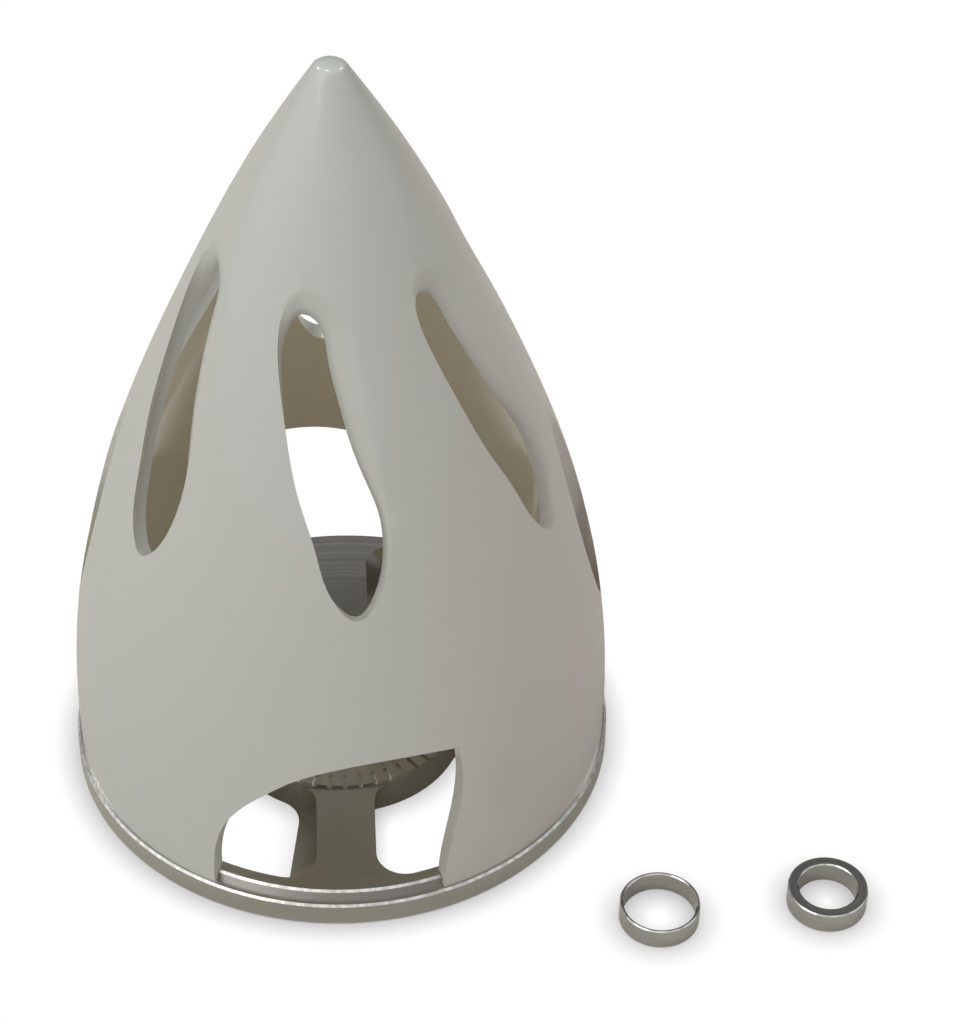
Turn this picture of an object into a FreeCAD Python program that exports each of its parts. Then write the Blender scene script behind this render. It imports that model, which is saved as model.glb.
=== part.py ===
import FreeCAD, Part
import math
import os

from FreeCAD import Vector

# Propeller spinner for an electric model aircraft. The spinner stands on the rear face of its
# backplate, nose up, with the shaft axis on Z and a propeller blade along Y, both ways.
# Two shaft adapter rings lie on the same surface beside it. Lengths are in mm, angles in degrees.
# Angles around the axis are counted from -Y towards +X.

# Backplate
PLATE_RADIUS = 38.1
LEDGE_HEIGHT = 3.7
LEDGE_WIDTH = 1.6
SPIGOT_RISE = 1.2
SPIGOT_WALL = 1.8
HUB_RADIUS = 17.3
SPOKE_COUNT = 4
SPOKE_WIDTH = 8.1
SPOKE_RIM_FILLET = 4.0
SPOKE_HUB_FILLET = 4.2
EDGE_CHAMFER = 0.3

# Serrated drive face: two rows of teeth on the hub, with a rib between the rows
TOOTH_COUNT = 50
TOOTH_GAP = 0.6
TOOTH_HEIGHT = 0.5
TOOTH_ROW_WIDTH = 2.2
TOOTH_RIB_WIDTH = 0.4
HUB_GROOVE_WIDTH = 0.7
HUB_GROOVE_DEPTH = 0.4

# Shafts, and the rings that adapt the bore to them
LARGE_SHAFT_RADIUS = 5.0
SMALL_SHAFT_RADIUS = 4.0
THIN_RING_WALL = 0.48
RING_HEIGHT = 3.2
RING_CLEARANCE = 0.02
RING_CHAMFER = 0.15
LARGE_RING_REACH = 19.1
SMALL_RING_REACH = 37.0
LARGE_RING_ANGLE = 47.7
SMALL_RING_ANGLE = 60.8

# Cone: the outline is a curve with six poles, evenly spaced in height, and a round nose on top
CONE_STEP_IN = 0.6
CONE_SHOULDER_RADIUS = 38.1
CONE_BELLY_RADIUS = 35.7
CONE_FLANK_RADIUS = 24.0
CONE_NECK_RADIUS = 16.7
NOSE_RIM_RADIUS = 2.9
CONE_FLANK_HEIGHT = 108.7
CONE_WALL = 2.2
NOSE_SOLID_LENGTH = 10.9
CONE_BANDS = 6
SEAT_CLEARANCE = 0.1

# Openings for the blades: angle from the blade's own line, and share of the opening's height
BLADE_COUNT = 2
BLADE_OPENING_HEIGHT = 25.3
BLADE_LEFT = ((-28.6, 0.0), (-28.6, 0.16), (-27.8, 0.32), (-25.6, 0.49), (-20.5, 0.67), (-12.0, 0.85))
BLADE_TOP = ((-12.0, 0.85), (0.0, 0.97), (12.0, 1.0), (24.6, 0.97))
BLADE_RIGHT = ((24.6, 0.97), (24.9, 0.71), (22.6, 0.4), (20.6, 0.0))

# Swirled vents: each row is one place on the outline, as angle from the vent's own line and share
# of the vent's height, first at the mouth in the outer skin and then at the throat behind it
VENT_COUNT = 6
VENT_FOOT_HEIGHT = 46.0
VENT_HEIGHT = 40.6
VENT_OUTLINE = (
    ((-13.0, 1.00), (-15.5, 0.90)),
    ((-3.0, 0.98), (-10.5, 0.89)),
    ((7.0, 0.91), (-6.9, 0.86)),
    ((11.0, 0.77), (-4.2, 0.78)),
    ((11.5, 0.62), (-0.8, 0.68)),
    ((12.8, 0.50), (3.3, 0.55)),
    ((13.8, 0.38), (8.0, 0.42)),
    ((13.6, 0.25), (11.3, 0.32)),
    ((11.6, 0.13), (11.6, 0.19)),
    ((8.0, 0.04), (8.5, 0.06)),
    ((3.8, 0.00), (3.8, -0.01)),
    ((-1.5, 0.06), (-2.5, 0.05)),
    ((-6.0, 0.22), (-8.0, 0.20)),
    ((-11.0, 0.38), (-13.5, 0.36)),
    ((-16.3, 0.57), (-18.3, 0.55)),
    ((-21.0, 0.73), (-22.0, 0.70)),
    ((-23.9, 0.86), (-23.5, 0.81)),
    ((-20.3, 0.97), (-20.0, 0.88)),
)

# The vent's lip, as share of the way from mouth to throat and share of the wall's depth
VENT_LIP = ((0.0, -0.1), (0.35, 0.1), (0.65, 0.3), (0.88, 0.65), (1.0, 1.15))

# Screws that hold the cone, and the posts in the cone that take them
SCREW_COUNT = 2
SCREW_ANGLE = 90.0
SCREW_INSET = 7.1
SCREW_RADIUS = 1.5
SCREW_LENGTH = 14.0
SCREW_HEAD_RADIUS = 2.8
SCREW_CLEARANCE = 0.1
SCREW_TIP_ROOM = 1.5
SOCKET_WIDTH = 2.0
SOCKET_DEPTH = 1.1
POST_RADIUS = 3.5
POST_HEIGHT = 18.0

# Sizes that follow from the ones above
SPIGOT_RADIUS = PLATE_RADIUS - LEDGE_WIDTH
SPIGOT_TOP = LEDGE_HEIGHT + SPIGOT_RISE
WINDOW_OUTER_RADIUS = SPIGOT_RADIUS - SPIGOT_WALL
TEETH_INNER_RADIUS = HUB_RADIUS - 2 * TOOTH_ROW_WIDTH - TOOTH_RIB_WIDTH
RING_RADIUS = LARGE_SHAFT_RADIUS + THIN_RING_WALL
BORE_RADIUS = RING_RADIUS + RING_CLEARANCE
CONE_BASE_RADIUS = PLATE_RADIUS - CONE_STEP_IN
SCREW_CIRCLE_RADIUS = PLATE_RADIUS - SCREW_INSET
CUTTER_REACH = PLATE_RADIUS + CONE_WALL

ORIGIN = Vector(0, 0, 0)
AXIS = Vector(0, 0, 1)


def around(angle, radius, height=0.0):
    """The point at an angle around the axis, a radius and a height."""
    turn = math.radians(angle)
    return Vector(radius * math.sin(turn), -radius * math.cos(turn), height)


def turned(shape, angle):
    """A copy of a shape, turned around the axis."""
    copy = shape.copy()
    copy.rotate(ORIGIN, AXIS, angle)
    return copy


def pattern(shape, count, first=0.0):
    """Copies of a shape, evenly spaced around the axis."""
    return [turned(shape, first + 360.0 * place / count) for place in range(count)]


def revolved(edges):
    """A solid of revolution around the axis, from the edges of a closed half section."""
    return Part.Face(Part.Wire(edges)).revolve(ORIGIN, AXIS, 360)


def turned_part(outline):
    """A solid of revolution from (radius, height) corners."""
    corners = [Vector(radius, 0, height) for radius, height in outline]
    return revolved(Part.makePolygon(corners + corners[:1]).Edges)


def tube(inner, outer, low, high):
    """A plain round wall between two radii and two heights."""
    return turned_part(((inner, low), (outer, low), (outer, high), (inner, high)))


# Backplate


def upright_edges(void, low, high):
    """The upright edges of a window's void between two distances from the axis."""
    tall = [edge for edge in void.Edges if edge.BoundBox.ZLength > SPIGOT_TOP]
    return [edge for edge in tall if low < edge.CenterOfMass.cross(AXIS).Length < high]


def window():
    """The void between two spokes, with round corners, through the whole plate."""
    sector = tube(HUB_RADIUS, WINDOW_OUTER_RADIUS, -EDGE_CHAMFER, SPIGOT_TOP + EDGE_CHAMFER)
    spoke = Part.makeBox(SPOKE_WIDTH, CUTTER_REACH, CUTTER_REACH)
    spoke.translate(Vector(-SPOKE_WIDTH / 2, -CUTTER_REACH, -CUTTER_REACH / 2))
    middle = (HUB_RADIUS + WINDOW_OUTER_RADIUS) / 2
    target = around(180.0 / SPOKE_COUNT, middle)
    pieces = sector.cut(pattern(spoke, SPOKE_COUNT)).Solids
    void = min(pieces, key=lambda piece: piece.CenterOfMass.distanceToPoint(target))
    void = void.makeFillet(SPOKE_HUB_FILLET, upright_edges(void, 0, middle))
    return void.makeFillet(SPOKE_RIM_FILLET, upright_edges(void, middle, CUTTER_REACH))


def tooth_gaps():
    """The radial gaps of both rows of teeth. The rib between the rows stays whole."""
    top = SPIGOT_TOP + TOOTH_HEIGHT
    start = TEETH_INNER_RADIUS - TOOTH_GAP
    end = HUB_RADIUS + TOOTH_GAP
    gap = Part.makeBox(TOOTH_GAP, end - start, 2 * TOOTH_HEIGHT)
    gap.translate(Vector(-TOOTH_GAP / 2, -end, SPIGOT_TOP))
    rib_inner = TEETH_INNER_RADIUS + TOOTH_ROW_WIDTH
    rib = tube(rib_inner, rib_inner + TOOTH_RIB_WIDTH, 0, top + TOOTH_HEIGHT)
    return [tool.cut(rib) for tool in pattern(gap, TOOTH_COUNT)]


def screw_head_outline(clearance):
    """Half section of a countersunk head and its shank, head down."""
    head = SCREW_HEAD_RADIUS + clearance
    shank = SCREW_RADIUS + clearance
    return ((0, 0), (head, 0), (shank, head - shank))


def screw_hole():
    """The countersunk hole for one screw, from the rear face through the plate."""
    shank = SCREW_RADIUS + SCREW_CLEARANCE
    top = SPIGOT_TOP + SCREW_CLEARANCE
    return turned_part(screw_head_outline(SCREW_CLEARANCE) + ((shank, top), (0, top)))


def at_screws(shape):
    """Copies of a shape made on the axis, one at each screw's place."""
    first = shape.copy()
    first.translate(around(0, SCREW_CIRCLE_RADIUS))
    return pattern(first, SCREW_COUNT, SCREW_ANGLE)


def backplate():
    """One turned disc: rim with ledge and spigot, spokes, hub, drive face and bore."""
    face = SPIGOT_TOP + TOOTH_HEIGHT
    disc = turned_part((
        (BORE_RADIUS, 0),
        (PLATE_RADIUS - EDGE_CHAMFER, 0),
        (PLATE_RADIUS, EDGE_CHAMFER),
        (PLATE_RADIUS, LEDGE_HEIGHT - EDGE_CHAMFER),
        (PLATE_RADIUS - EDGE_CHAMFER, LEDGE_HEIGHT),
        (SPIGOT_RADIUS, LEDGE_HEIGHT),
        (SPIGOT_RADIUS, SPIGOT_TOP - EDGE_CHAMFER),
        (SPIGOT_RADIUS - EDGE_CHAMFER, SPIGOT_TOP),
        (HUB_RADIUS + HUB_GROOVE_WIDTH, SPIGOT_TOP),
        (HUB_RADIUS + HUB_GROOVE_WIDTH, SPIGOT_TOP - HUB_GROOVE_DEPTH),
        (HUB_RADIUS, SPIGOT_TOP - HUB_GROOVE_DEPTH),
        (HUB_RADIUS, face),
        (TEETH_INNER_RADIUS, face),
        (TEETH_INNER_RADIUS, SPIGOT_TOP),
        (BORE_RADIUS, SPIGOT_TOP),
    ))
    voids = pattern(window(), SPOKE_COUNT) + at_screws(screw_hole())
    return disc.cut(voids).cut(tooth_gaps()).removeSplitter()


# Cone


def cone_curve():
    """Outer outline of the cone, from its base to the rim of the round nose."""
    radii = (CONE_BASE_RADIUS, CONE_SHOULDER_RADIUS, CONE_BELLY_RADIUS, CONE_FLANK_RADIUS,
             CONE_NECK_RADIUS, NOSE_RIM_RADIUS)
    step = CONE_FLANK_HEIGHT / (len(radii) - 1)
    curve = Part.BezierCurve()
    curve.setPoles([Vector(radius, 0, LEDGE_HEIGHT + step * place) for place, radius in enumerate(radii)])
    return curve


def outward(curve, share):
    """Direction that points out of the skin, at a share of the cone's height."""
    along = curve.tangent(share)[0]
    return Vector(along.z, 0, -along.x)


def below_skin(curve, height, depth):
    """The point of the half section at a height on the skin, a depth below it."""
    share = (height - LEDGE_HEIGHT) / CONE_FLANK_HEIGHT
    return curve.value(share) - outward(curve, share) * depth


def in_bands(curve):
    """A curve of the half section as edges end to end, so that no face of the cone is too long."""
    first, last = curve.FirstParameter, curve.LastParameter
    step = (last - first) / CONE_BANDS
    return [curve.toShape(first + step * band, first + step * (band + 1)) for band in range(CONE_BANDS)]


def cone_body(curve):
    """The cone as a full solid. Its round nose meets the flank smoothly."""
    rim = curve.value(1.0)
    out = outward(curve, 1.0)
    radius = rim.x / out.x
    centre = rim - out * radius
    tip = centre + AXIS * radius
    crest = centre + (out + AXIS).normalize() * radius
    foot = Vector(0, 0, LEDGE_HEIGHT)
    return revolved([
        Part.LineSegment(foot, curve.value(0.0)).toShape(),
        *in_bands(curve),
        Part.Arc(rim, crest, tip).toShape(),
        Part.LineSegment(tip, foot).toShape(),
    ])


def cone_cavity(curve):
    """The hollow inside the cone, one wall below the skin, closed by a point under the nose."""
    stations = 9
    high = LEDGE_HEIGHT + CONE_FLANK_HEIGHT - NOSE_SOLID_LENGTH
    step = (high - LEDGE_HEIGHT) / stations
    points = [below_skin(curve, LEDGE_HEIGHT + step * place, CONE_WALL) for place in range(stations + 1)]
    foot = Vector(0, 0, LEDGE_HEIGHT)
    points[0].z = LEDGE_HEIGHT
    end = points[-1]
    peak = Vector(0, 0, end.z + end.x / 2)
    wall = Part.BSplineCurve()
    wall.interpolate(points)
    return revolved([
        *in_bands(wall),
        Part.LineSegment(end, peak).toShape(),
        Part.LineSegment(peak, foot).toShape(),
        Part.LineSegment(foot, points[0]).toShape(),
    ])


def vent_row(curve, mouth_share, depth_share):
    """One row of points around a vent, part of the way from mouth to throat."""
    row = []
    for mouth, throat in VENT_OUTLINE:
        angle = mouth[0] + (throat[0] - mouth[0]) * mouth_share
        rise = mouth[1] + (throat[1] - mouth[1]) * mouth_share
        height = LEDGE_HEIGHT + VENT_FOOT_HEIGHT + rise * VENT_HEIGHT
        place = below_skin(curve, height, depth_share * CONE_WALL)
        row.append(around(angle, place.x, place.z))
    return row


def spread_to(row, distance):
    """A row of points moved straight out from the axis, onto the plane at a distance from it."""
    return [Vector(-point.x / point.y * distance, -distance, point.z) for point in row]


def loop(points):
    """A smooth closed wire through points."""
    curve = Part.BSplineCurve()
    curve.interpolate(Points=points, PeriodicFlag=True)
    return Part.Wire([curve.toShape()])


def vent(curve):
    """The void of one vent: its lip slopes from the mouth to a throat that lies askew behind it."""
    rows = [vent_row(curve, *lip) for lip in VENT_LIP]
    outside = spread_to(rows[0], CUTTER_REACH)
    inside = spread_to(rows[-1], BORE_RADIUS)
    return Part.makeLoft([loop(row) for row in [outside] + rows + [inside]], True, True)


def blade_wire(distance):
    """Outline of a blade opening on the plane at a distance from the axis."""
    edges = []
    for stretch in (BLADE_LEFT, BLADE_TOP, BLADE_RIGHT):
        points = [around(angle, distance, LEDGE_HEIGHT + share * BLADE_OPENING_HEIGHT)
                  for angle, share in stretch]
        curve = Part.BSplineCurve()
        curve.interpolate(spread_to(points, distance))
        edges.append(curve.toShape())
    low = -CONE_WALL
    left = edges[0].Vertexes[0].Point
    right = edges[-1].Vertexes[-1].Point
    left_foot = Vector(left.x, left.y, low)
    right_foot = Vector(right.x, right.y, low)
    edges.append(Part.LineSegment(right, right_foot).toShape())
    edges.append(Part.LineSegment(right_foot, left_foot).toShape())
    edges.append(Part.LineSegment(left_foot, left).toShape())
    return Part.Wire(edges)


def blade_opening():
    """The void where a blade comes out. Its walls point at the axis."""
    return Part.makeLoft([blade_wire(CUTTER_REACH), blade_wire(HUB_RADIUS)], True, True)


def screw_post():
    """A post on the axis, with a web from it to the wall. The screw's hole is cut later."""
    post = Part.makeCylinder(POST_RADIUS, POST_HEIGHT, Vector(0, 0, SPIGOT_TOP))
    web = Part.makeBox(2 * POST_RADIUS, CUTTER_REACH, POST_HEIGHT)
    web.translate(Vector(-POST_RADIUS, -CUTTER_REACH, SPIGOT_TOP))
    return post.fuse(web)


def spinner_cone():
    """One moulding: the shell with its seat, posts, vents and blade openings."""
    curve = cone_curve()
    hollow = cone_cavity(curve).cut(at_screws(screw_post()))
    seat = Part.makeCylinder(SPIGOT_RADIUS + SEAT_CLEARANCE, SPIGOT_TOP + SEAT_CLEARANCE)
    pilot = Part.makeCylinder(SCREW_RADIUS + SCREW_CLEARANCE, SCREW_LENGTH + SCREW_TIP_ROOM)
    shell = cone_body(curve).cut([hollow, seat] + at_screws(pilot))
    vents = pattern(vent(curve), VENT_COUNT)
    return shell.cut(vents).cut(pattern(blade_opening(), BLADE_COUNT))


# Screws and rings


def cone_screw():
    """A countersunk screw on the axis, head down, with a six-sided socket."""
    body = turned_part(screw_head_outline(0) + (
        (SCREW_RADIUS, SCREW_LENGTH - EDGE_CHAMFER),
        (SCREW_RADIUS - EDGE_CHAMFER, SCREW_LENGTH),
        (0, SCREW_LENGTH),
    ))
    corner = SOCKET_WIDTH / math.sqrt(3)
    corners = [around(60 * place, corner) for place in range(6)]
    socket = Part.Face(Part.makePolygon(corners + corners[:1])).extrude(AXIS * SOCKET_DEPTH)
    return body.cut(socket)


def adapter_ring(shaft_radius):
    """A turned ring that fits the bore and takes a smaller shaft, with its edges broken."""
    return turned_part((
        (shaft_radius + RING_CHAMFER, 0),
        (RING_RADIUS - RING_CHAMFER, 0),
        (RING_RADIUS, RING_CHAMFER),
        (RING_RADIUS, RING_HEIGHT - RING_CHAMFER),
        (RING_RADIUS - RING_CHAMFER, RING_HEIGHT),
        (shaft_radius + RING_CHAMFER, RING_HEIGHT),
        (shaft_radius, RING_HEIGHT - RING_CHAMFER),
        (shaft_radius, RING_CHAMFER),
    ))


def beside(shape, angle, reach):
    """A shape made on the axis, set down beside the plate."""
    copy = shape.copy()
    copy.translate(around(angle, PLATE_RADIUS + reach))
    return copy


def export(name, shape):
    """Write one piece to its file."""
    shape.exportStep(os.path.join("parts", name + ".step"))


os.makedirs("parts", exist_ok=True)
export("backplate", backplate())
export("spinner_cone", spinner_cone())
for number, screw in enumerate(at_screws(cone_screw()), start=1):
    export("cone_screw_%d" % number, screw)
export("adapter_ring_10mm", beside(adapter_ring(LARGE_SHAFT_RADIUS), LARGE_RING_ANGLE, LARGE_RING_REACH))
export("adapter_ring_8mm", beside(adapter_ring(SMALL_SHAFT_RADIUS), SMALL_RING_ANGLE, SMALL_RING_REACH))
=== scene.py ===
# %% [markdown]
# This lesson dresses a propeller spinner for a model aircraft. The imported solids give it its
# main shapes: a white moulded cone with swirled vents, a turned aluminium backplate, two screws
# and two loose adapter rings. They could be modelled anew, but then their sizes would drift from
# the real part's. So the frame is loaded first, and every later step asks it for places and
# sizes. Loading leaves all pieces selected, so they are deselected before anything is made.

import math

import bpy
from mathutils import Matrix, Vector


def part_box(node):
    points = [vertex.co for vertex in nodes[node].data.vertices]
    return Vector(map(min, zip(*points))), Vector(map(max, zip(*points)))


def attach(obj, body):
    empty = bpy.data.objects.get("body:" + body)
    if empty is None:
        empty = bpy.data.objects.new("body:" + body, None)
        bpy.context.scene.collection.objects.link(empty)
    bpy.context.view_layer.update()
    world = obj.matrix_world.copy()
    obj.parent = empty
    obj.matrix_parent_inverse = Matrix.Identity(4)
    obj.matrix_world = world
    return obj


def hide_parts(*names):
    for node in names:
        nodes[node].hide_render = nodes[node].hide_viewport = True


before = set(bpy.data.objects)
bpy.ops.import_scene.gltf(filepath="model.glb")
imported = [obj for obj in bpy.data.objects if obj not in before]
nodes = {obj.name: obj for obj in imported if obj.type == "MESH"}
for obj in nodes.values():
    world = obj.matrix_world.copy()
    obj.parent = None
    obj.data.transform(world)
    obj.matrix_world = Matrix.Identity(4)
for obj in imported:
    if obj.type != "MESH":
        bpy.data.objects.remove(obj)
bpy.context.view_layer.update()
bpy.ops.object.select_all(action="DESELECT")
print("nodes:", sorted(nodes))

# %% [markdown]
# Lengths in Blender are metres, but a small part is easier to think of in millimetres. One
# factor turns the second into the first. The plate's foot and radius and the height of the nose
# are read from the frame, so that the shapes and finishes below follow the real part.

# %% Sizes
MM = 0.001
plate_low, plate_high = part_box("backplate")
PLATE_FOOT = plate_low.z
PLATE_RADIUS = plate_high.x
CONE_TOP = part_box("spinner_cone")[1].z
print("plate radius %.2f mm, nose at %.2f mm" % (PLATE_RADIUS / MM, CONE_TOP / MM))

# %% [markdown]
# The photograph looks down at the spinner from the front. The camera is set by where it
# stands and by three turns: to the side, down, and a slight tilt of the hand. It could be
# aimed with a constraint, but three angles are easier to match to a picture. A camera that
# isn't turned looks straight down, so a right angle brings it level first. Its shift stays at
# zero, so that other views frame the part just as well.

# %% Camera
CAMERA_PLACE = Vector((-1.2, -307.9, 307.1)) * MM
CAMERA_TURN = math.radians(3.82)
CAMERA_DOWN = math.radians(40.82)
CAMERA_TILT = math.radians(1.17)
CAMERA_LENS = 104.7
CAMERA_SENSOR = 36.0
CAMERA_NEAREST = 10 * MM
LEVEL = math.radians(90)

camera_data = bpy.data.cameras.new("camera")
camera_data.lens = CAMERA_LENS
camera_data.sensor_width = CAMERA_SENSOR
camera_data.clip_start = CAMERA_NEAREST
camera = bpy.data.objects.new("camera", camera_data)
bpy.context.scene.collection.objects.link(camera)
camera.matrix_world = (
    Matrix.Translation(CAMERA_PLACE)
    @ Matrix.Rotation(-CAMERA_TURN, 4, "Z")
    @ Matrix.Rotation(LEVEL - CAMERA_DOWN, 4, "X")
    @ Matrix.Rotation(CAMERA_TILT, 4, "Z")
)
bpy.context.scene.camera = camera
bpy.context.scene.view_settings.view_transform = "Standard"
print("camera lens %.1f mm" % camera_data.lens)

# %% [markdown]
# The floor looks pure white in the picture, yet the part is lit as if it stood on a pale, warm
# white table. Brighter lamps would whiten the floor too, but they would wash the part out. A
# light path tells the rays apart instead: the camera sees a glow, and every other ray sees the
# table. The glow fades close to the part, which leaves a narrow contact shadow. Three helpers
# come with it, because every later material needs them.

# %% Floor material
FLOOR_SEEN = (1.0, 1.0, 1.0)
FLOOR_SHADE = (0.22, 0.22, 0.22)
FLOOR_TABLE = (0.66, 0.63, 0.56)
FLOOR_ROUGHNESS = 0.7
SHADOW_REACH = 4 * MM


def new_material(name):
    """An empty node material with its output, ready for nodes."""
    material = bpy.data.materials.new(name)
    material.use_nodes = True
    material.node_tree.nodes.clear()
    output = material.node_tree.nodes.new("ShaderNodeOutputMaterial")
    return material, material.node_tree, output


def feed(tree, source, socket):
    """Give a socket a number, three numbers or what another socket puts out."""
    if isinstance(source, bpy.types.NodeSocket):
        tree.links.new(source, socket)
    elif socket.type == "RGBA":
        socket.default_value = (*source, 1)
    else:
        socket.default_value = source


def blend(tree, factor, first, second):
    """A colour between two. Each is a socket or three numbers."""
    node = tree.nodes.new("ShaderNodeMix")
    node.data_type = "RGBA"
    feed(tree, factor, node.inputs["Factor"])
    feed(tree, first, node.inputs["A"])
    feed(tree, second, node.inputs["B"])
    return node.outputs["Result"]


def floor_white():
    """A glow for the camera and a table for every other ray."""
    material, tree, output = new_material("floor_white")
    table = tree.nodes.new("ShaderNodeBsdfPrincipled")
    feed(tree, FLOOR_TABLE, table.inputs["Base Color"])
    feed(tree, FLOOR_ROUGHNESS, table.inputs["Roughness"])
    corner = tree.nodes.new("ShaderNodeAmbientOcclusion")
    feed(tree, SHADOW_REACH, corner.inputs["Distance"])
    glow = tree.nodes.new("ShaderNodeEmission")
    feed(tree, blend(tree, corner.outputs["AO"], FLOOR_SHADE, FLOOR_SEEN), glow.inputs["Color"])
    path = tree.nodes.new("ShaderNodeLightPath")
    both = tree.nodes.new("ShaderNodeMixShader")
    tree.links.new(path.outputs["Is Camera Ray"], both.inputs[0])
    tree.links.new(table.outputs[0], both.inputs[1])
    tree.links.new(glow.outputs[0], both.inputs[2])
    tree.links.new(both.outputs[0], output.inputs["Surface"])
    return material


FLOOR_WHITE = floor_white()
print("floor material:", FLOOR_WHITE.name)

# %% [markdown]
# The floor itself is one large plane at the height of the plate's foot. It isn't part of the
# object.

# %% Floor
FLOOR_SIZE = 6.0

bpy.ops.mesh.primitive_plane_add(size=FLOOR_SIZE, location=(0, 0, PLATE_FOOT))
floor = bpy.context.active_object
floor.name = "floor"
floor.data.materials.append(FLOOR_WHITE)
print("floor %.0f m wide" % FLOOR_SIZE)

# %% [markdown]
# The room is brighter on the left than on the right, and dark behind the part, which the turned
# metal shows most. A picture of a room could give such light, but it would be one more file. The
# world fades along both directions instead, by the direction in which a ray leaves the scene.

# %% Room light
BRIGHT_SIDE = (-0.9, -0.2, 0.3)
WORLD_COLOUR = (1.0, 1.0, 0.98)
WORLD_BRIGHT = 0.92
WORLD_DARK = 0.35
WORLD_BEHIND = 0.2
BEHIND_RANGE = (0.0, 0.7)


def calculate(tree, kind, operation, operands):
    """A math node of a kind. Each operand is a socket or numbers."""
    node = tree.nodes.new(kind)
    node.operation = operation
    for place, operand in enumerate(operands):
        feed(tree, operand, node.inputs[place])
    return node.outputs


def number_math(tree, operation, *operands):
    """Arithmetic on single numbers."""
    return calculate(tree, "ShaderNodeMath", operation, operands)["Value"]


def vector_math(tree, operation, *operands):
    """Arithmetic on vectors. A dot product puts out one number."""
    output = "Value" if operation == "DOT_PRODUCT" else "Vector"
    return calculate(tree, "ShaderNodeVectorMath", operation, operands)[output]


def parts_of(tree, vector):
    """The X, Y and Z of a vector, each as a socket."""
    node = tree.nodes.new("ShaderNodeSeparateXYZ")
    feed(tree, vector, node.inputs[0])
    return node.outputs


def spread(tree, value, low, high, start=0.0, end=1.0):
    """Turn a value between start and end into one between low and high."""
    node = tree.nodes.new("ShaderNodeMapRange")
    feed(tree, value, node.inputs["Value"])
    feed(tree, start, node.inputs["From Min"])
    feed(tree, end, node.inputs["From Max"])
    feed(tree, low, node.inputs["To Min"])
    feed(tree, high, node.inputs["To Max"])
    return node.outputs["Result"]


world = bpy.data.worlds.new("room")
bpy.context.scene.world = world
world.use_nodes = True
tree = world.node_tree
background = tree.nodes["Background"]
direction = tree.nodes.new("ShaderNodeTexCoord").outputs["Generated"]
towards = vector_math(tree, "DOT_PRODUCT", direction, BRIGHT_SIDE)
sideways = spread(tree, towards, WORLD_DARK, WORLD_BRIGHT, -1.0, 1.0)
backwards = spread(tree, parts_of(tree, direction)["Y"], 1.0, WORLD_BEHIND, *BEHIND_RANGE)
feed(tree, WORLD_COLOUR, background.inputs["Color"])
feed(tree, number_math(tree, "MULTIPLY", sideways, backwards), background.inputs["Strength"])
print("world:", world.name)

# %% [markdown]
# One large soft lamp high on the left gives the cone its roundness, and a weak one on the right
# lifts its shaded edge. Three small ones, above the spinner and behind it, leave sharp glints on
# the nose, which tell the eye that the plastic is glossy. Spots would do as well, but square
# lamps give soft shadows and a plain size to set. All of them face the middle of the cone.

# %% Lamps
AIM = Vector((0, 0, CONE_TOP / 2))
KEY_PLACE = (-0.45, -0.35, 0.65)
KEY_SIZE = 0.5
KEY_POWER = 0.95
FILL_PLACE = (0.6, -0.15, 0.35)
FILL_SIZE = 0.4
FILL_POWER = 0.08
GLINTS = ((-0.41, 0.46, 0.79), (-0.12, 0.23, 0.97), (0.41, 0.43, 0.81))
GLINT_DISTANCE = 0.8
GLINT_SIZE = 0.1
GLINT_POWER = 0.6


def soft_lamp(name, place, size, power):
    """A square lamp that faces the middle of the cone."""
    data = bpy.data.lights.new(name, "AREA")
    data.shape = "SQUARE"
    data.size = size
    data.energy = power
    lamp = bpy.data.objects.new(name, data)
    bpy.context.scene.collection.objects.link(lamp)
    facing = (Vector(place) - AIM).to_track_quat("Z", "Y").to_matrix().to_4x4()
    lamp.matrix_world = Matrix.Translation(place) @ facing


soft_lamp("key", KEY_PLACE, KEY_SIZE, KEY_POWER)
soft_lamp("fill", FILL_PLACE, FILL_SIZE, FILL_POWER)
for number, glint in enumerate(GLINTS):
    soft_lamp("glint_%d" % number, Vector(glint) * GLINT_DISTANCE, GLINT_SIZE, GLINT_POWER)

# %% [markdown]
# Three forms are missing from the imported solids: the wells in the cone's flanks, through which a
# driver would reach the screws, the slimmer line of its nose, and the lean of the plate's
# spokes. All three change a solid's own skin, so they can't be pieces laid over it. The cone and
# the plate each get a copy that stands for them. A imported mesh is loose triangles, so the copy
# is merged first, and can then be cut and shaded smoothly.

# %% Merged copies
MERGE_REACH = 0.001 * MM


def select_only(piece):
    """Select one object and make it the active one."""
    bpy.ops.object.select_all(action="DESELECT")
    piece.select_set(True)
    bpy.context.view_layer.objects.active = piece


def merged_copy(name, new_name):
    """A copy of a CAD node with its loose triangles joined."""
    piece = bpy.data.objects.new(new_name, nodes[name].data.copy())
    bpy.context.scene.collection.objects.link(piece)
    select_only(piece)
    bpy.ops.object.mode_set(mode="EDIT")
    bpy.ops.mesh.select_all(action="SELECT")
    bpy.ops.mesh.remove_doubles(threshold=MERGE_REACH)
    bpy.ops.object.mode_set(mode="OBJECT")
    bpy.ops.mesh.customdata_custom_splitnormals_clear()
    print(new_name, "starts with", len(piece.data.polygons), "faces")
    return piece


cone = merged_copy("spinner_cone", "cone_with_wells")
plate = merged_copy("backplate", "plate_with_slanted_spokes")

# %% [markdown]
# A well is an upright shaft that opens in the sloping flank, so from the side its mouth is a
# long drop and from above a short oval. The mouth could be drawn from above, but its shape is
# seen from the side. So it is drawn on the flank, as an angle and a height, and rays find where
# the cone's skin lies behind each point.

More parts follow.
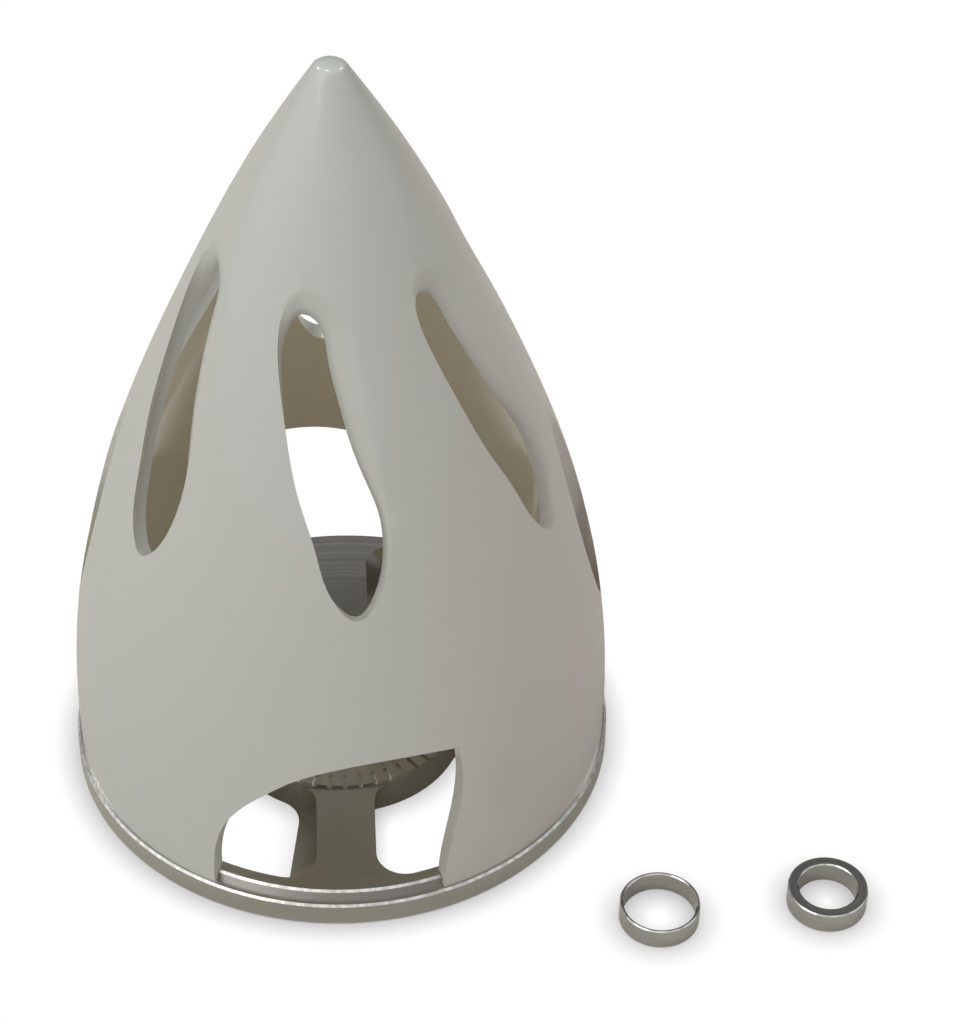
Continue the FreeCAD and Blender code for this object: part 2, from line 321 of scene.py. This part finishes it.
# %% Mouths of the wells
WELL_LINES = (math.radians(87.0), math.radians(267.0))
WELL_HALF_ANGLE = math.radians(9.2)
WELL_SHARPNESS = 1.3
WELL_LOW = 27.3 * MM
WELL_TALL = 32.0 * MM
WELL_CORNERS = 48
FAR_OFF = 200 * MM


def ahead(angle, distance, height):
    """A point at an angle from the front of the cone, counted towards its right side."""
    return Vector((math.sin(angle) * distance, -math.cos(angle) * distance, height))


def skin_point(origin, direction):
    """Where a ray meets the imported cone."""
    return nodes["spinner_cone"].ray_cast(origin, direction)[1]


def skin_beside(angle, height):
    """Where a level ray from far off, towards the axis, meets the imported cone."""
    return skin_point(ahead(angle, FAR_OFF, height), ahead(angle, -1, 0))


def well_outline(line):
    """The mouth of a well, corner by corner, on the skin round its middle line."""
    points = []
    for corner in range(WELL_CORNERS):
        turn = math.tau * corner / WELL_CORNERS
        width = math.copysign(abs(math.sin(turn)) ** WELL_SHARPNESS, math.sin(turn))
        height = WELL_LOW + WELL_TALL * (1 - math.cos(turn)) / 2
        points.append(skin_beside(line + WELL_HALF_ANGLE * width, height))
    return points


mouths = [well_outline(line) for line in WELL_LINES]
print("well mouths:", len(mouths), "with", WELL_CORNERS, "corners each")

# %% [markdown]
# The well could be a hole alone, but behind a thin shell it would open into the cone. It needs a
# wall of its own. A boolean first adds a solid shaft, whose outline is the mouth's grown by the
# wall and whose top follows the skin just below it. A second one cuts the well out of that and
# the skin. Each shaft starts as a circle, whose corners are moved to the outline before it is
# extruded.

# %% Screw wells
WELL_FLOOR = 23.6 * MM
WELL_TOP = 70 * MM
WELL_WALL = 1.6 * MM
WELL_BELOW_SKIN = 0.1 * MM


def grown(points, distance, farthest):
    """An outline moved outwards by a distance, seen from above, but not past a radius."""
    moved = []
    for place, point in enumerate(points):
        along = points[(place + 1) % len(points)] - points[place - 1]
        outwards = Vector((along.y, -along.x, 0)).normalized()
        target = (point + outwards * distance).xy
        reach = min(target.length, farthest)
        moved.append((target.normalized() * reach).to_3d())
    return moved


def shaft(points, foot, tops):
    """An upright solid on a flat foot, with an outline and a height for each corner."""
    bpy.ops.mesh.primitive_circle_add(vertices=len(points), fill_type="NGON", location=(0, 0, 0))
    piece = bpy.context.active_object
    for vertex, point in zip(piece.data.vertices, points):
        vertex.co = (point.x, point.y, foot)
    bpy.ops.object.mode_set(mode="EDIT")
    bpy.ops.mesh.select_all(action="SELECT")
    bpy.ops.mesh.extrude_region_move(TRANSFORM_OT_translate={"value": (0, 0, WELL_WALL)})
    bpy.ops.object.mode_set(mode="OBJECT")
    for vertex, top in zip(piece.data.vertices[len(points):], tops):
        vertex.co.z = top
    bpy.ops.object.mode_set(mode="EDIT")
    bpy.ops.mesh.select_all(action="SELECT")
    bpy.ops.mesh.normals_make_consistent(inside=False)
    bpy.ops.object.mode_set(mode="OBJECT")
    return piece


def combine(piece, tool, operation):
    """Add a tool solid to a piece or cut it out, and delete the tool."""
    select_only(piece)
    modifier = piece.modifiers.new(operation.lower(), "BOOLEAN")
    modifier.operation = operation
    modifier.solver = "EXACT"
    modifier.object = tool
    bpy.ops.object.modifier_apply(modifier=modifier.name)
    bpy.data.objects.remove(tool)


for line, mouth in zip(WELL_LINES, mouths):
    lowest_skin = skin_beside(line, WELL_FLOOR).xy.length
    rim = grown(mouth, WELL_WALL, lowest_skin - WELL_BELOW_SKIN)
    tops = [skin_point((point.x, point.y, FAR_OFF), (0, 0, -1)).z - WELL_BELOW_SKIN for point in rim]
    combine(cone, shaft(rim, WELL_FLOOR - WELL_WALL, tops), "UNION")
    combine(cone, shaft(mouth, WELL_FLOOR, [WELL_TOP] * len(mouth)), "DIFFERENCE")
print("cone with its wells:", len(cone.data.polygons), "faces")

# %% [markdown]
# Seen against the photograph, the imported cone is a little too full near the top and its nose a
# little too round. A lattice could squeeze it, but it would blur the vents' edges. Every point
# of the copy is drawn in towards the axis instead, by a distance that grows smoothly with its
# height, and the crown is pressed down to a small flat. A point close to the axis moves by a
# limited share of its own distance from it, so that it never passes to the other side.

# %% Slimmer nose
SLIM_FLANK = (45 * MM, 80 * MM, 0.4 * MM)
SLIM_NOSE = (95 * MM, 112 * MM, 0.3 * MM)
SLIM_MOST = 0.35
CROWN_HEIGHT = 112.6 * MM
CROWN_PRESS = 0.3
CONE_SMOOTH_ANGLE = math.radians(40)


def smooth_step(value, start, end):
    """Zero before the start, one after the end, and an easy curve between them."""
    share = min(1.0, max(0.0, (value - start) / (end - start)))
    return share * share * (3 - 2 * share)


def slim_nose(piece):
    """Draw the upper part of the cone in towards the axis and flatten its crown."""
    for vertex in piece.data.vertices:
        height = vertex.co.z
        drawn_in = sum(
            depth * smooth_step(height, start, end) for start, end, depth in (SLIM_FLANK, SLIM_NOSE)
        )
        if drawn_in > 0:
            skin = skin_beside(WELL_LINES[0], height).xy.length
            share = min(SLIM_MOST, drawn_in / max(skin, drawn_in))
            vertex.co.x *= 1 - share
            vertex.co.y *= 1 - share
        if height > CROWN_HEIGHT:
            vertex.co.z = CROWN_HEIGHT + (height - CROWN_HEIGHT) * CROWN_PRESS


def stand_in(piece, name, smooth_angle):
    """Shade a finished copy smoothly and let it stand for its CAD node."""
    select_only(piece)
    bpy.ops.object.shade_smooth_by_angle(angle=smooth_angle)
    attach(piece, "root")
    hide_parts(name)
    print(piece.name, "has", len(piece.data.polygons), "faces")


slim_nose(cone)
stand_in(cone, "spinner_cone", CONE_SMOOTH_ANGLE)

# %% [markdown]
# The plate's spokes lean a little, like the blades of a fan. New spokes could be modelled, but
# they would have to meet the hub and the rim all over again. Instead the underside of the packed
# ones is turned round the axis against their top. The flat underside is taken out before and
# filled in again afterwards, because its long triangles would fold over. The turn fades towards
# the two spokes that carry the screws, so that the screw holes stay whole.

# %% Slanted spokes
SCREWS = ("cone_screw_1", "cone_screw_2")
SCREW_ROOM = 4.0 * MM
SPOKE_SLANT = math.radians(-7.5)
SLANT_INNER = 17.0 * MM
SLANT_OUTER = 35.5 * MM
SLANT_FULL = 0.75
UNDERSIDE = 0.01 * MM
FACING_DOWN = -0.99
PLATE_SMOOTH_ANGLE = math.radians(25)


def near_screw(point):
    """Whether a point belongs to a screw's hole."""
    for name in SCREWS:
        low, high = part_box(name)
        middle = (low + high) / 2
        if math.hypot(point.x - middle.x, point.y - middle.y) < SCREW_ROOM:
            return True
    return False


def open_underside(piece):
    """Delete the flat faces on which the plate stands."""
    select_only(piece)
    bpy.ops.object.mode_set(mode="EDIT")
    bpy.ops.mesh.select_mode(type="FACE")
    bpy.ops.mesh.select_all(action="DESELECT")
    bpy.ops.object.mode_set(mode="OBJECT")
    for face in piece.data.polygons:
        face.select = face.normal.z < FACING_DOWN and abs(face.center.z - PLATE_FOOT) < UNDERSIDE
    bpy.ops.object.mode_set(mode="EDIT")
    bpy.ops.mesh.delete(type="FACE")
    bpy.ops.object.mode_set(mode="OBJECT")


def turn_underside(piece):
    """Turn the lower edges of the windows round the axis."""
    for vertex in piece.data.vertices:
        distance = math.hypot(vertex.co.x, vertex.co.y)
        low = abs(vertex.co.z - PLATE_FOOT) < UNDERSIDE
        if low and SLANT_INNER < distance < SLANT_OUTER and not near_screw(vertex.co):
            fade = min(1.0, abs(vertex.co.y) / distance / SLANT_FULL)
            vertex.co = Matrix.Rotation(SPOKE_SLANT * fade, 3, "Z") @ vertex.co


def close_underside(piece):
    """Fill the underside in again between its edges."""
    select_only(piece)
    bpy.ops.object.mode_set(mode="EDIT")
    bpy.ops.mesh.select_mode(type="EDGE")
    bpy.ops.mesh.select_all(action="DESELECT")
    bpy.ops.mesh.select_non_manifold(extend=False)
    bpy.ops.mesh.fill(use_beauty=True)
    bpy.ops.mesh.select_all(action="SELECT")
    bpy.ops.mesh.normals_make_consistent(inside=False)
    bpy.ops.object.mode_set(mode="OBJECT")


open_underside(plate)
turn_underside(plate)
close_underside(plate)
stand_in(plate, "backplate", PLATE_SMOOTH_ANGLE)

# %% [markdown]
# The plate, the screws and the rings were all turned on a lathe, whose tool leaves rings round
# the axis. The rings could be built in each material, but they are one effect, so they go into a
# shader node group that is built once and placed in each. Noise along the radius and the height
# gives rings of uneven depth, as a lathe leaves them. The group centres the pattern on the
# piece, because the two loose rings don't lie on the shaft's axis, and it also puts out the
# distance from that centre.

# %% Group: turned rings
RINGS_SCALE = 1.0
RINGS_DETAIL = 3.0


def group_tree(name, inputs, outputs):
    """A shader node group with named sockets. Each socket is a name and a type."""
    tree = bpy.data.node_groups.new(name, "ShaderNodeTree")
    for side, sockets in (("INPUT", inputs), ("OUTPUT", outputs)):
        for socket_name, kind in sockets:
            tree.interface.new_socket(socket_name, in_out=side, socket_type=kind)
    return tree, tree.nodes.new("NodeGroupInput").outputs, tree.nodes.new("NodeGroupOutput").inputs


def noise(tree, coordinates, scale, detail):
    """Soft noise between 0 and 1."""
    node = tree.nodes.new("ShaderNodeTexNoise")
    feed(tree, coordinates, node.inputs["Vector"])
    feed(tree, scale, node.inputs["Scale"])
    feed(tree, detail, node.inputs["Detail"])
    return node.outputs["Fac"]


def build_turned_rings():
    """Noise in rings round a centre, and the distance from that centre."""
    tree, given, result = group_tree(
        "turned_rings",
        [("Centre", "NodeSocketVector"), ("Rings per metre", "NodeSocketFloat")],
        [("Rings", "NodeSocketFloat"), ("Radius", "NodeSocketFloat")],
    )
    place = tree.nodes.new("ShaderNodeTexCoord").outputs["Object"]
    parts = parts_of(tree, vector_math(tree, "SUBTRACT", place, given["Centre"]))
    across = number_math(tree, "MULTIPLY", parts["X"], parts["X"])
    along = number_math(tree, "MULTIPLY", parts["Y"], parts["Y"])
    radius = number_math(tree, "SQRT", number_math(tree, "ADD", across, along))
    line = tree.nodes.new("ShaderNodeCombineXYZ")
    density = given["Rings per metre"]
    feed(tree, number_math(tree, "MULTIPLY", radius, density), line.inputs["X"])
    feed(tree, number_math(tree, "MULTIPLY", parts["Z"], density), line.inputs["Y"])
    feed(tree, noise(tree, line.outputs[0], RINGS_SCALE, RINGS_DETAIL), result["Rings"])
    feed(tree, radius, result["Radius"])
    return tree


TURNED_RINGS = build_turned_rings()
print("group:", TURNED_RINGS.name)

# %% [markdown]
# The bevelled edges of turned metal catch the light in bright specks, and here these highlights
# are painted into the colour. They could be painted by hand or given a second material, but a
# mask finds them on any piece: a bevel's normal is neither upright nor level. Noise breaks the
# painted highlight into specks. On the plate only the outer edges show them, so the mask starts
# at a distance from the centre.

# %% Group: painted bevel highlights
BEVEL_STEEP = (0.5, 0.6)
BEVEL_FLAT = (0.85, 0.95)
BEVEL_FADE = 0.5 * MM
SPECK_SCALE = 900.0
SPECK_DETAIL = 2.0
SPECK_LEAST = 0.3
SPECK_RANGE = (0.4, 0.6)


def build_painted_bevel_highlights():
    """A mask for painted highlights on bevelled edges, broken up into specks."""
    tree, given, result = group_tree(
        "painted_bevel_highlights",
        [("Radius", "NodeSocketFloat"), ("Starts at", "NodeSocketFloat")],
        [("Mask", "NodeSocketFloat")],
    )
    normal = tree.nodes.new("ShaderNodeNewGeometry").outputs["True Normal"]
    slope = number_math(tree, "ABSOLUTE", parts_of(tree, normal)["Z"])
    steep = spread(tree, slope, 0.0, 1.0, *BEVEL_STEEP)
    flat = spread(tree, slope, 1.0, 0.0, *BEVEL_FLAT)
    place = tree.nodes.new("ShaderNodeTexCoord").outputs["Object"]
    cloud = noise(tree, place, SPECK_SCALE, SPECK_DETAIL)
    specks = spread(tree, cloud, SPECK_LEAST, 1.0, *SPECK_RANGE)
    bevel = number_math(tree, "MULTIPLY", number_math(tree, "MULTIPLY", steep, flat), specks)
    full_at = number_math(tree, "ADD", given["Starts at"], BEVEL_FADE)
    outer = spread(tree, given["Radius"], 0.0, 1.0, given["Starts at"], full_at)
    feed(tree, number_math(tree, "MULTIPLY", bevel, outer), result["Mask"])
    return tree


PAINTED_BEVEL_HIGHLIGHTS = build_painted_bevel_highlights()
print("group:", PAINTED_BEVEL_HIGHLIGHTS.name)

# %% [markdown]
# The backplate, the screws and the rings are bare metal. They differ in colour, in how
# polished they are, and in how deep and how close their tool marks lie. Separate materials could
# be built by hand, but one function that takes those values keeps them alike in all else.

# %% Turned metals
RINGS = ("adapter_ring_10mm", "adapter_ring_8mm")
ON_AXIS = (0, 0, 0)
# Colour of the painted highlights on bevelled edges.
PAINTED_EDGE_HIGHLIGHT = (0.97, 0.97, 0.96)
EDGE_WIDTH = 2.6 * MM
GROOVE_SHADE = 0.8
ROUGHNESS_SHARES = (0.7, 1.3)
PLATE_METAL = {"colour": (0.58, 0.57, 0.54), "roughness": 0.32, "depth": 0.01 * MM, "density": 2500}
SCREW_METAL = {"colour": (0.45, 0.45, 0.46), "roughness": 0.25, "depth": 0.005 * MM, "density": 6000}
RING_METAL = {"colour": (0.55, 0.55, 0.54), "roughness": 0.14, "depth": 0.03 * MM, "density": 1500}


def place_group(tree, group, values):
    """Place a node group in a material with its own values."""
    node = tree.nodes.new("ShaderNodeGroup")
    node.node_tree = group
    for name, value in values.items():
        feed(tree, value, node.inputs[name])
    return node.outputs


def turned_metal(name, centre, bevels_from, colour, roughness, depth, density):
    """Bare turned metal with tool marks round a centre, painted shade in their grooves and painted
    highlights on bevels beyond a distance.
    """
    material, tree, output = new_material(name)
    surface = tree.nodes.new("ShaderNodeBsdfPrincipled")
    feed(tree, 1.0, surface.inputs["Metallic"])
    marks = place_group(tree, TURNED_RINGS, {"Centre": centre, "Rings per metre": density})
    bevels = place_group(tree, PAINTED_BEVEL_HIGHLIGHTS, {"Radius": marks["Radius"], "Starts at": bevels_from})
    # The low parts of the tool marks are painted darker: painted shade in the grooves, beside the
    # real bump.
    shaded_grooves = tuple(part * GROOVE_SHADE for part in colour)
    body = blend(tree, marks["Rings"], shaded_grooves, colour)
    # Painted highlights on the bevels, laid over the metal's colour.
    feed(tree, blend(tree, bevels["Mask"], body, PAINTED_EDGE_HIGHLIGHT), surface.inputs["Base Color"])
    smoothest, roughest = (roughness * share for share in ROUGHNESS_SHARES)
    feed(tree, spread(tree, marks["Rings"], smoothest, roughest), surface.inputs["Roughness"])
    bump = tree.nodes.new("ShaderNodeBump")
    feed(tree, depth, bump.inputs["Distance"])
    feed(tree, 1.0, bump.inputs["Strength"])
    feed(tree, marks["Rings"], bump.inputs["Height"])
    feed(tree, bump.outputs["Normal"], surface.inputs["Normal"])
    tree.links.new(surface.outputs[0], output.inputs["Surface"])
    return material


def finish(piece, material):
    """Give a piece its material, all over."""
    piece.data.materials.clear()
    piece.data.materials.append(material)


def centre_of(name):
    """The middle of a node, seen from above."""
    low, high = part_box(name)
    return ((low.x + high.x) / 2, (low.y + high.y) / 2, 0)


finish(plate, turned_metal("plate_metal", ON_AXIS, PLATE_RADIUS - EDGE_WIDTH, **PLATE_METAL))
for name in SCREWS:
    finish(nodes[name], turned_metal(name + "_steel", centre_of(name), 0, **SCREW_METAL))
for name in RINGS:
    finish(nodes[name], turned_metal(name + "_metal", centre_of(name), 0, **RING_METAL))
print("metals:", [nodes[name].data.materials[0].name for name in SCREWS + RINGS])

# %% [markdown]
# The cone is moulded in one glossy white plastic. Two materials could paint its two sides, but a
# moulding has one skin, and its sides meet at every vent. One material tells them apart by the
# normal: inside, it points towards the axis. There the colour is painted warmer and brighter, as
# painted light for the light that shines through the thin shell and bounces inside it. Outside it
# shows faint flow marks, drawn out along the cone, and a faint warm reflection is painted on its
# right. The painted reflection follows the marks, whose noise is about a half on average, so it
# gets twice its weight.

# %% Cone plastic
PLASTIC_OUT = (0.55, 0.56, 0.53)
# A painted warm reflection on the cone's right side.
PAINTED_REFLECTION_TINT = (0.57, 0.53, 0.51)
# Inner wall colour: the plastic with painted warm light on it.
PLASTIC_IN_PAINTED_LIGHT = (0.97, 0.90, 0.74)
INNER_RANGE = (-0.9, -0.5)
REFLECTION_RANGE = (5 * MM, 35 * MM)
REFLECTION_MOST = 2.0
FLOW_STRETCH = (1, 1, 0.2)
FLOW_SCALE = 70.0
FLOW_DETAIL = 2.0
PLASTIC_ROUGHNESS = (0.28, 0.40)
COAT_WEIGHT = 0.5
COAT_ROUGHNESS = 0.06
LEVEL_PART = (1, 1, 0)


def outer_side(tree, place):
    """Zero where the surface faces the axis, one where it doesn't."""
    outward = vector_math(tree, "NORMALIZE", vector_math(tree, "MULTIPLY", place, LEVEL_PART))
    normal = tree.nodes.new("ShaderNodeNewGeometry").outputs["True Normal"]
    facing = vector_math(tree, "DOT_PRODUCT", normal, outward)
    return spread(tree, facing, 0.0, 1.0, *INNER_RANGE)


def cone_plastic():
    """Glossy white plastic with faint flow marks, painted warm light on the inner wall and a painted
    warm reflection on its right.
    """
    material, tree, output = new_material("cone_plastic")
    surface = tree.nodes.new("ShaderNodeBsdfPrincipled")
    place = tree.nodes.new("ShaderNodeTexCoord").outputs["Object"]
    flow = noise(tree, vector_math(tree, "MULTIPLY", place, FLOW_STRETCH), FLOW_SCALE, FLOW_DETAIL)
    # Painted reflection, strongest towards the right.
    painted_reflection = spread(tree, parts_of(tree, place)["X"], 0.0, REFLECTION_MOST, *REFLECTION_RANGE)
    outside = blend(tree, number_math(tree, "MULTIPLY", flow, painted_reflection), PLASTIC_OUT, PAINTED_REFLECTION_TINT)
    # Painted light on the inner wall.
    colour = blend(tree, outer_side(tree, place), PLASTIC_IN_PAINTED_LIGHT, outside)
    feed(tree, colour, surface.inputs["Base Color"])
    feed(tree, spread(tree, flow, *PLASTIC_ROUGHNESS), surface.inputs["Roughness"])
    feed(tree, COAT_WEIGHT, surface.inputs["Coat Weight"])
    feed(tree, COAT_ROUGHNESS, surface.inputs["Coat Roughness"])
    tree.links.new(surface.outputs[0], output.inputs["Surface"])
    return material


CONE_PLASTIC = cone_plastic()
finish(cone, CONE_PLASTIC)
print("plastic:", CONE_PLASTIC.name)
